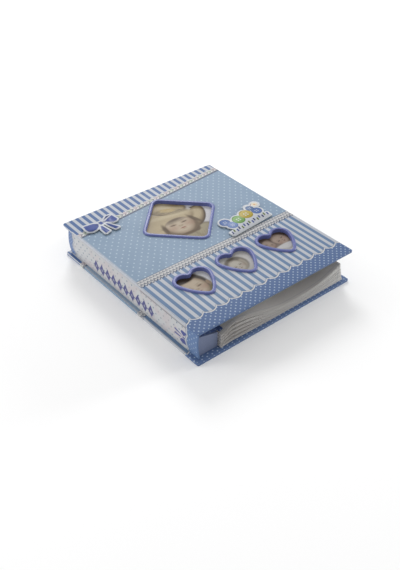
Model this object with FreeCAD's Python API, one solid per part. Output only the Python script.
import FreeCAD
import Part
import math
import os

# Case-bound slip-in photo album for 10 x 15 cm prints, lying on its back cover.
# Working axes: x from the spine to the fore-edge, y from the foot to the head, z up.
# The exported shapes are moved so that the origin is the bottom centre of the album.

# Driving dimensions, millimetres
WIDTH = 200.0
HEIGHT = 225.0
THICKNESS = 39.3
BOARD = 2.5
PAPER = 0.2
TURN_IN = 9.0
CORNER_R = 1.6
SPINE_INSET = 4.4
SPINE_BULGE = 2.1
SPINE_BOARD = 1.6
SPINE_END_INSET = 4.5
BLOCK_DEPTH = 25.2
BLOCK_BACK_HEIGHT = 23.5
BLOCK_FACE_HEIGHT = 16.9
BLOCK_END_INSET = 8.0
STUBS = 5
STUB_THICK = 0.8
STUB_GRIP = 8.0
STUB_REACH = 0.6
BUNDLES = 10
BUNDLE_THICK = 0.55
LEAF_END_INSET = 3.5
LEAF_FORE_INSET = 5.7
STACK_CREEP = 6.4
ROOT_GAP = 0.7
FAN_LENGTH = 14.0
PAIR_PITCH = 1.0
GUTTER_HEIGHT = 24.3
TROUGH_HEIGHT = 9.8
FORE_HEIGHT = 23.1
LIP_LENGTH = 4.7
RIM_WIDTH = 3.2
RIM_HEIGHT = 1.8
RIM_LAP = 2.0
RIM_ROUND = 1.4
RIM_EASE = 0.5
DIAMOND_SIDE = 70.4
DIAMOND_R = 9.5
HEART_LOBE = 12.0
HEART_SPREAD = 9.5
HEART_NOTCH_R = 1.5
HEART_SIDE_R = 58.0
HEART_TIP_R = 7.0
HEART_DROP = 30.3
HEART_GAP = 9.9
HEARTS_FROM_FOOT = 65.7
CARD = 0.5
CARD_BACKING = 1.2
CARD_MARGIN = 2.0
BACKING_MARGIN = 1.5
BOW_FROM_SPINE = 31.0
BOW_FROM_HEAD = 31.0
CLEAR = 0.3
FIT = 0.05

# Sizes that follow from them
COVER = BOARD + 2 * PAPER
FLOOR_Z = COVER
CEIL_Z = THICKNESS - COVER
MID_Z = THICKNESS / 2
PRINT_TOP = CEIL_Z + 2 * PAPER
Vec = FreeCAD.Vector


def box(x0, x1, y0, y1, z0, z1):
    return Part.makeBox(x1 - x0, y1 - y0, z1 - z0, Vec(x0, y0, z0))


def plate(inset, z0, z1):
    """Cover-sized plate with rounded corners, inset from the cover's edges."""
    solid = box(inset, WIDTH - inset, inset, HEIGHT - inset, z0, z1)
    upright = [e for e in solid.Edges if abs(e.tangentAt(e.FirstParameter).z) > 0.9]
    radius = max(CORNER_R - inset, 0.4)
    return solid.makeFillet(radius, upright)


def prism(face, z0, z1):
    shape = face.copy()
    shape.translate(Vec(0, 0, z0))
    return shape.extrude(Vec(0, 0, z1 - z0))


def arc(p0, p1, p2):
    return Part.Arc(Vec(*p0), Vec(*p1), Vec(*p2)).toShape()


def line(p0, p1):
    return Part.makeLine(Vec(*p0), Vec(*p1))


def along_y(edges, y0, y1):
    """Solid from a closed outline drawn in the x-z plane."""
    face = Part.Face(Part.Wire(edges))
    face.translate(Vec(0, y0, 0))
    return face.extrude(Vec(0, y1 - y0, 0))


def polygon_edges(points):
    ring = points + points[:1]
    return [line(a, b) for a, b in zip(ring, ring[1:])]


# ---------------------------------------------------------------- windows
# Every window outline is a function of how far it is inset from the frame's outside.
# The row of hearts is measured from the foot; the diamond takes its share of the rest.
CENTRE_X = WIDTH / 2 + 0.6
HEART_TOP = HEARTS_FROM_FOOT + HEART_LOBE
HEART_PITCH = 2 * (HEART_LOBE + HEART_SPREAD) + HEART_GAP
HEART_AT_X = [WIDTH / 2 - 0.3 + i * HEART_PITCH for i in (-1, 0, 1)]
DIAMOND_AT = (CENTRE_X, HEART_TOP + 0.52 * (HEIGHT - HEART_TOP))


def diamond(inset):
    half = DIAMOND_SIDE / 2 - inset
    radius = max(DIAMOND_R - inset, 0.5)
    square = Part.makePlane(2 * half, 2 * half, Vec(-half, -half, 0)).extrude(Vec(0, 0, 1))
    upright = [e for e in square.Edges if abs(e.tangentAt(e.FirstParameter).z) > 0.9]
    rounded = square.makeFillet(radius, upright)
    face = [f for f in rounded.Faces if f.CenterOfMass.z < 1e-6][0]
    face = Part.Face(face.OuterWire)
    face.rotate(Vec(0, 0, 0), Vec(0, 0, 1), 45)
    face.translate(Vec(DIAMOND_AT[0], DIAMOND_AT[1], 0))
    return face


def heart(centre_x, inset):
    """Two lobes, a rounded notch between them and full sides to a rounded tip."""
    lobe = HEART_LOBE - inset
    side_r = HEART_SIDE_R - inset
    tip_r = HEART_TIP_R - inset
    notch_r = HEART_NOTCH_R + inset
    notch_y = math.sqrt((HEART_LOBE + HEART_NOTCH_R) ** 2 - HEART_SPREAD ** 2)
    tip_y = HEART_TIP_R - HEART_DROP
    # Each side arc touches its lobe and the tip's circle from outside both.
    to_lobe = HEART_SIDE_R - HEART_LOBE
    to_tip = HEART_SIDE_R - HEART_TIP_R
    apart = math.hypot(HEART_SPREAD, tip_y)
    along = (to_lobe ** 2 - to_tip ** 2 + apart ** 2) / (2 * apart)
    off = math.sqrt(to_lobe ** 2 - along ** 2)
    side_x = HEART_SPREAD + (tip_y * off - HEART_SPREAD * along) / apart
    side_y = (tip_y * along + HEART_SPREAD * off) / apart
    from_notch = math.atan2(notch_y, -HEART_SPREAD)
    to_side = math.atan2(-side_y, HEART_SPREAD - side_x)
    from_side = math.atan2(tip_y - side_y, -side_x)

    def on(x, y, radius, angle):
        return (x + radius * math.cos(angle), y + radius * math.sin(angle))

    join = on(HEART_SPREAD, 0, lobe, from_notch)
    lobe_mid = on(HEART_SPREAD, 0, lobe, (from_notch + to_side) / 2)
    side_top = on(side_x, side_y, side_r, to_side)
    side_mid = on(side_x, side_y, side_r, (to_side + from_side) / 2)
    side_low = on(side_x, side_y, side_r, from_side)
    notch_low = (0.0, notch_y - notch_r)
    tip_low = (0.0, tip_y - tip_r)

    def at(point, side=1):
        return (centre_x + side * point[0], HEARTS_FROM_FOOT + point[1], 0)

    edges = [
        arc(at(join), at(lobe_mid), at(side_top)),
        arc(at(side_top), at(side_mid), at(side_low)),
        arc(at(side_low), at(tip_low), at(side_low, -1)),
        arc(at(side_low, -1), at(side_mid, -1), at(side_top, -1)),
        arc(at(side_top, -1), at(lobe_mid, -1), at(join, -1)),
        arc(at(join, -1), at(notch_low), at(join)),
    ]
    return Part.Face(Part.Wire(edges))


WINDOWS = {"diamond": diamond}
for side, centre in zip(("left", "middle", "right"), HEART_AT_X):
    WINDOWS["heart_" + side] = lambda inset, c=centre: heart(c, inset)


def rim(outline):
    """Moulded frame: a raised rim lapping the cover and a wall down to the picture."""
    ring = prism(outline(0), THICKNESS, THICKNESS + RIM_HEIGHT)
    top = [e for e in ring.Edges if e.BoundBox.ZMin > THICKNESS + RIM_HEIGHT - 1e-4]
    ring = ring.makeFillet(RIM_ROUND, top)
    sleeve = prism(outline(RIM_LAP + FIT), PRINT_TOP, THICKNESS)
    hole = prism(outline(RIM_WIDTH), PRINT_TOP - 1, THICKNESS + RIM_HEIGHT + 1)
    frame = ring.fuse(sleeve).cut(hole).removeSplitter()
    flat = [f for f in frame.Faces if f.BoundBox.ZMin > THICKNESS + RIM_HEIGHT - 1e-4][0]
    inner = min(flat.Wires, key=lambda wire: wire.BoundBox.DiagonalLength)
    rim_edges = [e for e in frame.Edges if any(e.isSame(i) for i in inner.Edges)]
    return frame.makeFillet(RIM_EASE, rim_edges)


# ---------------------------------------------------------------- covers
def cover_paper(outer_z0, outer_z1, turn_z0, turn_z1):
    """Printed sheet over one face and the four edges, turned in on the other face."""
    low = min(outer_z0, turn_z0)
    high = max(outer_z1, turn_z1)
    skin = plate(0, low, high)
    skin = skin.cut(plate(PAPER, low + PAPER, high - PAPER))
    return skin.cut(box(TURN_IN, WIDTH - TURN_IN, TURN_IN, HEIGHT - TURN_IN, turn_z0, turn_z1))


def endpaper(z0, z1):
    return box(TURN_IN, WIDTH - TURN_IN, TURN_IN, HEIGHT - TURN_IN, z0, z1)


nodes = {}
front_board = plate(PAPER, CEIL_Z + PAPER, THICKNESS - PAPER)
front_paper = cover_paper(THICKNESS - PAPER, THICKNESS, CEIL_Z, CEIL_Z + PAPER)
for name, outline in WINDOWS.items():
    cut_out = prism(outline(RIM_LAP), CEIL_Z + PAPER, THICKNESS + 1)
    front_board = front_board.cut(cut_out)
    front_paper = front_paper.cut(cut_out)
    nodes[name + "_frame"] = rim(outline)
    nodes[name + "_print"] = prism(outline(RIM_LAP + FIT), CEIL_Z + PAPER, PRINT_TOP)
nodes["front_cover_board"] = front_board
nodes["front_cover_paper"] = front_paper
nodes["front_endpaper"] = endpaper(CEIL_Z, CEIL_Z + PAPER)
nodes["back_cover_board"] = plate(PAPER, PAPER, FLOOR_Z - PAPER)
nodes["back_cover_paper"] = cover_paper(0, PAPER, FLOOR_Z - PAPER, FLOOR_Z)
nodes["back_endpaper"] = endpaper(FLOOR_Z - PAPER, FLOOR_Z)


# ---------------------------------------------------------------- stick-on cards
def disc(x, y, r):
    circle = Part.makeCircle(r, Vec(x, y, 0))
    return Part.Face(Part.Wire([circle]))


def padded(points, margin):
    """Convex outline with a rounded margin all round."""
    corners = [disc(x, y, margin) for x, y in points]
    shape = Part.Face(Part.Wire(polygon_edges([(x, y, 0) for x, y in points])))
    ring = list(points) + list(points[:1])
    for (xa, ya), (xb, yb) in zip(ring, ring[1:]):
        length = math.hypot(xb - xa, yb - ya)
        nx = (ya - yb) / length * margin
        ny = (xb - xa) / length * margin
        band = [(xa + nx, ya + ny, 0), (xb + nx, yb + ny, 0),
                (xb - nx, yb - ny, 0), (xa - nx, ya - ny, 0)]
        corners.append(Part.Face(Part.Wire(polygon_edges(band))))
    return [shape] + corners


def card_solid(pieces, at, z0, z1):
    solids = [prism(p, z0, z1) for p in pieces]
    solid = solids[0].multiFuse(solids[1:]).removeSplitter()
    solid.translate(Vec(at[0], at[1], 0))
    return solid


# Both cards are drawn about their own middle, the bow from the shapes printed on it.
BOW_AT = (BOW_FROM_SPINE, HEIGHT - BOW_FROM_HEAD)
BOW_SHAPES = [
    [(-18.8, 9.8), (-19.9, 3.0), (-19.0, -1.6), (-15.6, -3.6),
     (-10.0, -2.6), (-5.6, 0.6), (-3.9, 4.8), (-7.8, 8.4)],
    [(4.0, 4.4), (10.8, -1.2), (15.4, -1.2), (17.7, 1.2), (16.8, 10.4), (9.8, 7.8)],
    [(4.2, 7.4), (10.6, 9.6), (16.4, 11.9), (10.9, 12.4)],
    [(-2.9, 7.0), (-2.2, 1.6), (1.8, 2.4), (1.4, 7.2)],
    [(-3.9, 0.2), (-6.3, -5.2), (-6.6, -14.4), (-0.9, -12.9), (-2.4, -1.0)],
    [(2.8, 1.2), (3.8, -6.4), (6.0, -13.7), (10.6, -12.9), (4.7, 0.2)],
]
TITLE_DISCS = [(-21.6, 6.0, 6.0), (-18.2, -2.0, 5.7), (-6.1, 2.0, 6.9), (5.9, 4.6, 7.4),
               (16.8, 13.6, 3.4), (17.8, 9.0, 4.0), (20.5, 2.6, 5.5), (26.5, 13.5, 4.2)]
TITLE_BANNER = [(-29.0, -17.0), (-29.0, -11.4), (26.8, -6.4), (26.4, -12.2)]
TITLE_MIDDLE = [(-22.0, -10.0), (24.0, -6.0), (20.0, 2.0), (-16.0, 0.0)]

# The title card sits in the free corner between the diamond, the hearts and the
# fore-edge, at its own share of the room that is left there.
TITLE_REACH = 32.7
TITLE_DROP = 19.0
TITLE_ROOM = (82.7, 56.2)
TITLE_SLACK = (WIDTH - CENTRE_X - TITLE_ROOM[0], DIAMOND_AT[1] - HEART_TOP - TITLE_ROOM[1])
TITLE_AT = (WIDTH - TITLE_REACH - 5.0 - 0.557 * TITLE_SLACK[0],
            HEART_TOP + TITLE_DROP + 0.6 + 0.645 * TITLE_SLACK[1])


def stick_on(name, at, build):
    top = THICKNESS + CARD_BACKING
    nodes[name + "_backing"] = card_solid(build(BACKING_MARGIN), at, THICKNESS, top)
    nodes[name + "_card"] = card_solid(build(CARD_MARGIN), at, top, top + CARD)


def bow_faces(margin):
    faces = []
    for shape in BOW_SHAPES:
        faces += padded(shape, margin)
    return faces


def title_faces(margin):
    discs = [disc(x, y, r + margin) for x, y, r in TITLE_DISCS]
    return discs + padded(TITLE_BANNER, margin) + padded(TITLE_MIDDLE, margin)


stick_on("bow", BOW_AT, bow_faces)
stick_on("title", TITLE_AT, title_faces)

# ---------------------------------------------------------------- spine and binding block
SPINE_LOW = FLOOR_Z + CLEAR + PAPER
SPINE_HIGH = CEIL_Z - CLEAR - PAPER
HALF_CHORD = (SPINE_HIGH - SPINE_LOW) / 2
SPINE_R = (HALF_CHORD ** 2 + SPINE_BULGE ** 2) / (2 * SPINE_BULGE)
SPINE_CENTRE_X = SPINE_INSET - SPINE_BULGE + SPINE_R


def spine_x(depth, z):
    """x of the spine's curve, depth behind its outer face, at height z."""
    radius = SPINE_R - depth
    return SPINE_CENTRE_X - math.sqrt(radius ** 2 - (z - MID_Z) ** 2)


def spine_arc(depth, z0, z1, back=False):
    zm = (z0 + z1) / 2
    points = [(spine_x(depth, z), 0, z) for z in (z0, zm, z1)]
    return arc(*(points[::-1] if back else points))


def spine_layer(depth0, depth1):
    outer = spine_arc(depth0, SPINE_LOW, SPINE_HIGH)
    inner = spine_arc(depth1, SPINE_LOW, SPINE_HIGH, back=True)
    caps = [line((spine_x(depth0, z), 0, z), (spine_x(depth1, z), 0, z))
            for z in (SPINE_LOW, SPINE_HIGH)]
    edges = [outer, caps[1], inner, caps[0]]
    return along_y(edges, SPINE_END_INSET, HEIGHT - SPINE_END_INSET)


nodes["spine_paper"] = spine_layer(0, PAPER)
nodes["spine_board"] = spine_layer(PAPER, PAPER + SPINE_BOARD)

BLOCK_BACK = PAPER + SPINE_BOARD
BLOCK_LOW = FLOOR_Z + FIT
BLOCK_HIGH = FLOOR_Z + BLOCK_BACK_HEIGHT
BLOCK_INNER_HIGH = FLOOR_Z + BLOCK_FACE_HEIGHT
BLOCK_EASE = 0.6
BLOCK_FACE = SPINE_INSET + BLOCK_DEPTH


def block_slice(y0, y1):
    back = spine_arc(BLOCK_BACK, BLOCK_LOW + BLOCK_EASE, BLOCK_HIGH)
    low = spine_x(BLOCK_BACK, BLOCK_LOW + BLOCK_EASE)
    high = spine_x(BLOCK_BACK, BLOCK_HIGH)
    edges = [
        back,
        line((high, 0, BLOCK_HIGH), (BLOCK_FACE, 0, BLOCK_INNER_HIGH)),
        line((BLOCK_FACE, 0, BLOCK_INNER_HIGH), (BLOCK_FACE, 0, BLOCK_LOW)),
        line((BLOCK_FACE, 0, BLOCK_LOW), (low + BLOCK_EASE, 0, BLOCK_LOW)),
        line((low + BLOCK_EASE, 0, BLOCK_LOW), (low, 0, BLOCK_LOW + BLOCK_EASE)),
    ]
    return along_y(edges, y0, y1)


CORE_Y = (BLOCK_END_INSET + PAPER, HEIGHT - BLOCK_END_INSET - PAPER)
core = block_slice(*CORE_Y)
STUB_PITCH = (BLOCK_INNER_HIGH - FLOOR_Z) / STUBS
STUB_Z = [FLOOR_Z + (i + 0.5) * STUB_PITCH for i in range(STUBS)]
for index, z in enumerate(STUB_Z):
    span = (BLOCK_FACE - STUB_GRIP, BLOCK_FACE + STUB_REACH, CORE_Y[0] + 1, CORE_Y[1] - 1)
    stub = box(*span, z - STUB_THICK / 2, z + STUB_THICK / 2)
    core = core.cut(stub)
    nodes["leaf_stub_%d" % (index + 1)] = stub
nodes["block_core"] = core
nodes["block_foot_paper"] = block_slice(BLOCK_END_INSET, CORE_Y[0])
nodes["block_head_paper"] = block_slice(CORE_Y[1], HEIGHT - BLOCK_END_INSET)

# Patterned paper on the sloping top, ending just short of the spine board.
STRIP_GAP = 0.4
BACK_TOP_X = spine_x(BLOCK_BACK, BLOCK_HIGH)
FALL = (BLOCK_HIGH - BLOCK_INNER_HIGH) / (BLOCK_FACE - BACK_TOP_X)
STRIP_HIGH = BLOCK_HIGH - STRIP_GAP * FALL
nodes["block_top_strip"] = along_y(polygon_edges([
    (BACK_TOP_X + STRIP_GAP, 0, STRIP_HIGH),
    (BLOCK_FACE, 0, BLOCK_INNER_HIGH),
    (BLOCK_FACE, 0, BLOCK_INNER_HIGH + PAPER),
    (BACK_TOP_X + STRIP_GAP, 0, STRIP_HIGH + PAPER),
]), BLOCK_END_INSET, HEIGHT - BLOCK_END_INSET)

# Paper joints: each runs from the spine's edge to the hinge line under the cover's edge.
JOINT_X = (CLEAR, SPINE_INSET + SPINE_BOARD)
JOINT_Y = (SPINE_END_INSET, HEIGHT - SPINE_END_INSET)
nodes["front_joint_paper"] = box(*JOINT_X, *JOINT_Y, SPINE_HIGH, SPINE_HIGH + PAPER)
nodes["back_joint_paper"] = box(*JOINT_X, *JOINT_Y, SPINE_LOW - PAPER, SPINE_LOW)

# ---------------------------------------------------------------- leaves
def fore_edge(level):
    return WIDTH - LEAF_FORE_INSET - STACK_CREEP * level ** 0.7


ROOT_X = BLOCK_FACE + STUB_REACH + ROOT_GAP
FAN_X = ROOT_X + FAN_LENGTH
TROUGH_X = FAN_X + 0.51 * (fore_edge(1) - FAN_X)
STACK_LOW = FLOOR_Z + CLEAR
GUTTER_TOP = FLOOR_Z + GUTTER_HEIGHT
TROUGH_TOP = FLOOR_Z + TROUGH_HEIGHT
FORE_TOP = FLOOR_Z + FORE_HEIGHT


def stack_z(x, level):
    """Height of the leaves at x; level runs from 0 at the bottom to 1 at the top."""
    ease = min(max((x - FAN_X) / (TROUGH_X - FAN_X), 0), 1)
    top = TROUGH_TOP + (GUTTER_TOP - TROUGH_TOP) * (1 + math.cos(math.pi * ease)) / 2
    rise = max(x - TROUGH_X, 0) / (fore_edge(1) - TROUGH_X)
    top += (FORE_TOP - TROUGH_TOP) * min(rise, 1) ** 3
    return STACK_LOW + level * (top - STACK_LOW)


def leaf_z(x, index):
    """Middle height of one bundle: bundled in pairs at the block, fanned out beyond."""
    free = stack_z(x, (index + 0.5) / BUNDLES)
    pair = index * STUBS // BUNDLES
    root = STUB_Z[pair] + (PAIR_PITCH / 2 if index % 2 else -PAIR_PITCH / 2)
    t = min(max((x - ROOT_X) / (FAN_X - ROOT_X), 0), 1)
    t = t * t * (3 - 2 * t)
    return root + t * (free - root)


def even(x0, x1, step):
    count = math.ceil((x1 - x0) / step)
    return [x0 + (x1 - x0) * i / count for i in range(count)]


def leaf_strip(index, x0, x1, low, high, y0, y1):
    """Curved strip of leaf between two heights above the bundle's middle."""
    bend = min(x1, FAN_X)
    xs = even(x0, bend, ROOT_STEP) + (even(bend, x1, LEAF_STEP) if x1 > bend else []) + [x1]
    sides = []
    for offset in (low, high):
        curve = Part.BSplineCurve()
        curve.interpolate([Vec(x, 0, leaf_z(x, index) + offset) for x in xs])
        sides.append(curve.toShape())
    ends = [line((x, 0, leaf_z(x, index) + low), (x, 0, leaf_z(x, index) + high))
            for x in (xs[0], xs[-1])]
    return along_y([sides[0], ends[1], sides[1], ends[0]], y0, y1)


# Spacing of the points each leaf's curve passes through, closer where it bends at the root.
ROOT_STEP = 1.2
LEAF_STEP = 8.0
HALF = BUNDLE_THICK / 2
for index in range(BUNDLES):
    end = fore_edge((index + 0.5) / BUNDLES)
    nodes["leaf_bundle_%02d" % (index + 1)] = leaf_strip(
        index, ROOT_X, end, -HALF, HALF, LEAF_END_INSET, HEIGHT - LEAF_END_INSET)
nodes["flap_lip"] = leaf_strip(
    BUNDLES - 1, ROOT_X + CLEAR, ROOT_X + CLEAR + LIP_LENGTH, HALF + FIT, HALF + FIT + PAPER,
    BLOCK_END_INSET, HEIGHT - BLOCK_END_INSET)

# ---------------------------------------------------------------- export
os.makedirs("parts", exist_ok=True)
for name in sorted(nodes):
    shape = nodes[name]
    if shape.ShapeType == "Compound" and len(shape.Solids) == 1:
        shape = shape.Solids[0]
    shape.translate(Vec(-WIDTH / 2, -HEIGHT / 2, 0))
    shape.exportStep("parts/%s.step" % name)
    print(name, len(shape.Solids), shape.isValid(), round(shape.Volume, 1))
